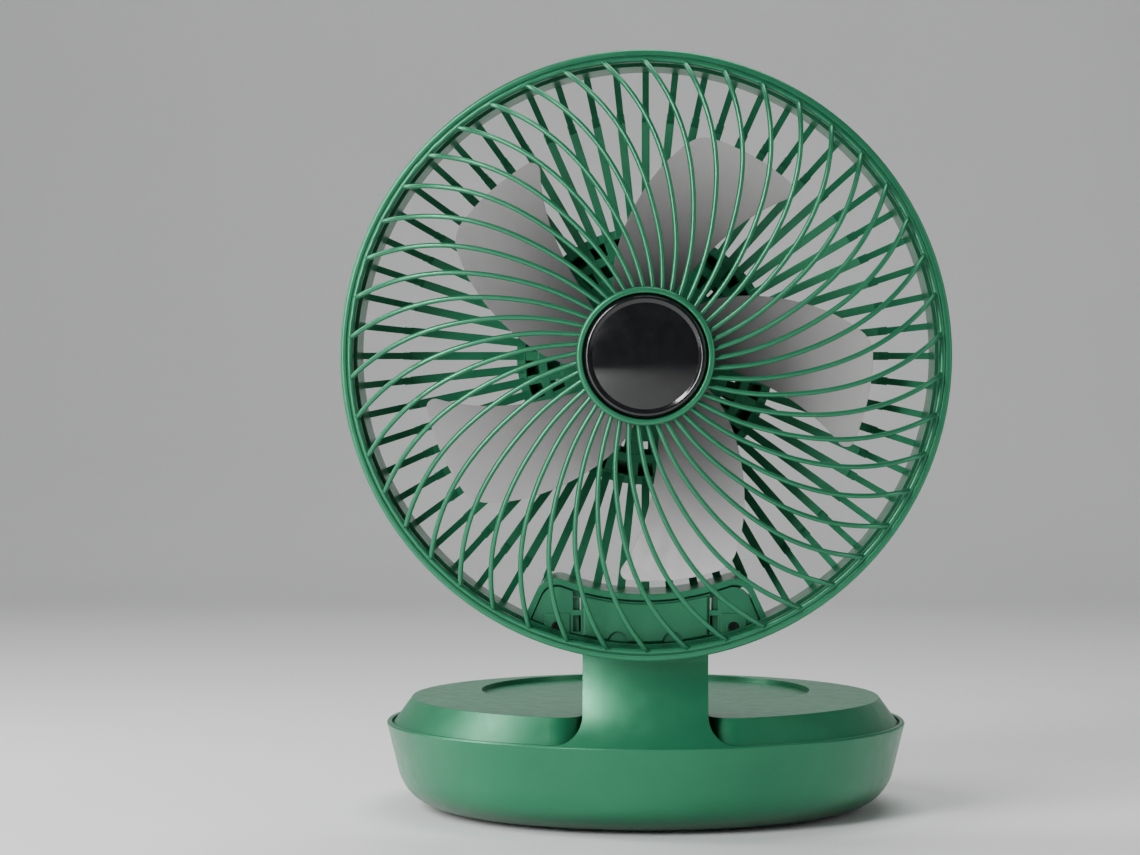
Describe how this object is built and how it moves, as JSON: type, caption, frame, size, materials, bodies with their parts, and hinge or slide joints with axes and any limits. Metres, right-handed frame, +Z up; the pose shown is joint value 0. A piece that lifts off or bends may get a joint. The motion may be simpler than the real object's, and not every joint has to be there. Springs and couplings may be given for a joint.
{
  "type": "desk fan",
  "caption": "Folding desk fan: round guard with a domed front of curved ribs, grey blades, and a short hinged neck rising from a wide round base the head folds down onto.",
  "frame": {"origin": "centre of the round rubber foot ring, on the table surface", "axes": "+Z up through the base, -Y is where the fan blows, +X is to the right seen from the front"},
  "size_m": [0.22, 0.2305, 0.2858],
  "materials": {
    "shell_green": "satin pearl green",
    "grille_green": "satin pearl green",
    "hinge_green": "satin pearl green",
    "blade_grey": "satin warm grey",
    "badge_black": "piano black",
    "foot_rubber": "matt",
    "screw_steel": "plated",
    "screw_black": "black oxide",
    "pin_steel": "ground",
    "motor_steel": "zinc plated",
    "magnet": "sintered, dark grey",
    "winding": "enamelled copper wire",
    "bronze": "sintered bronze",
    "mount_alloy": "die cast",
    "board": "solder-masked circuit board",
    "cell": "wrapped cell",
    "tray_black": "moulded",
    "switch_black": "moulded",
    "bush_plastic": "acetal",
    "lens": "frosted",
    "port_metal": "formed shell",
    "button_green": "satin pearl green",
    "lead": "insulated lead",
    "washer": "friction fibre"
  },
  "bodies": {
    "base": {"base_shell": "shell_green", "top_cover": "shell_green", "foot_ring": "foot_rubber", "base_screws": "screw_steel", "neck_rear_cover": "shell_green", "neck_screws": "screw_steel", "battery_cells": "cell", "battery_holder": "tray_black", "hinge_bushes": "bush_plastic", "neck_lead": "lead", "control_board": "board", "board_screws": "screw_steel", "tact_switch": "switch_black", "status_lens": "lens", "charge_socket": "port_metal"},
    "button": {"power_button": "button_green"},
    "head": {"front_grille": "grille_green", "badge": "badge_black", "rear_grille": "grille_green", "hinge_cover": "hinge_green", "hinge_cover_screws": "screw_black", "hinge_pin": "pin_steel", "friction_washers": "washer", "motor_mount": "mount_alloy", "motor_bushes": "bronze", "stator_core": "motor_steel", "stator_coils": "winding", "motor_board": "board", "motor_screws": "screw_steel", "motor_rear_cover": "grille_green", "rear_cover_screws": "screw_steel"},
    "rotor": {"impeller": "blade_grey", "rotor_bell": "motor_steel", "rotor_magnets": "magnet", "motor_shaft": "pin_steel", "shaft_clip": "screw_steel", "impeller_nut": "bronze"}
  },
  "joints": [
    {"name": "head_tilt", "type": "hinge", "parent": "base", "child": "head", "pos_m": [0, -0.078, 0.0738], "axis": [-1, 0, 0], "range_deg": [-15, 90]},
    {"name": "fan_spin", "type": "hinge", "parent": "head", "child": "rotor", "pos_m": [0, -0.0765, 0.1758], "axis": [0, 1, 0], "continuous": true},
    {"name": "button_press", "type": "slide", "parent": "base", "child": "button", "axis": [0, -0.9715, 0.2368], "range_m": [0, 0.0012], "stiffness_N_per_m": 400, "springref_m": -0.002}
  ]
}
